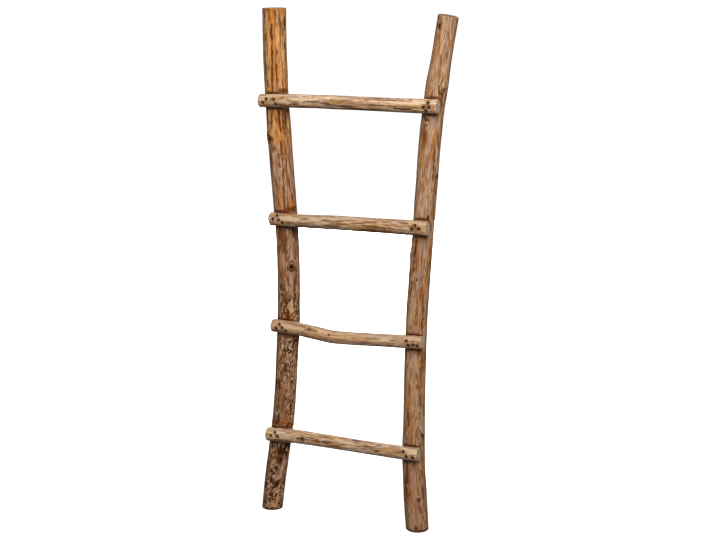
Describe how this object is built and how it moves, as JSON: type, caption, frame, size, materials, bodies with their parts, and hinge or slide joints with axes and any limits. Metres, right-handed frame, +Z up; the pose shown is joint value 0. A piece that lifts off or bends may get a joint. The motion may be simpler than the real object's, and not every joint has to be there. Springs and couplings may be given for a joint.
{
  "type": "blanket ladder",
  "caption": "Rustic blanket ladder of bent, peeled poles, with rungs nailed into saddles across the front of its rails; leans on a wall and holds folded blankets.",
  "frame": {"origin": "on the floor, in the middle of the ladder's outline", "axes": "+Z up along the ladder, +X to the right and +Y to the back, seen from the front, where the rungs are"},
  "size_m": [0.6234, 0.1036, 1.5347],
  "materials": {
    "rail_wood": "satin, peeled pole under clear oil",
    "rung_wood": "matt, peeled pole",
    "nail_iron": "dark, oxidised"
  },
  "bodies": {
    "root": {"left_rail": "rail_wood", "right_rail": "rail_wood", "top_rung": "rung_wood", "upper_middle_rung": "rung_wood", "lower_middle_rung": "rung_wood", "bottom_rung": "rung_wood", "top_rung_nails": "nail_iron", "upper_middle_rung_nails": "nail_iron", "lower_middle_rung_nails": "nail_iron", "bottom_rung_nails": "nail_iron"}
  },
  "joints": []
}
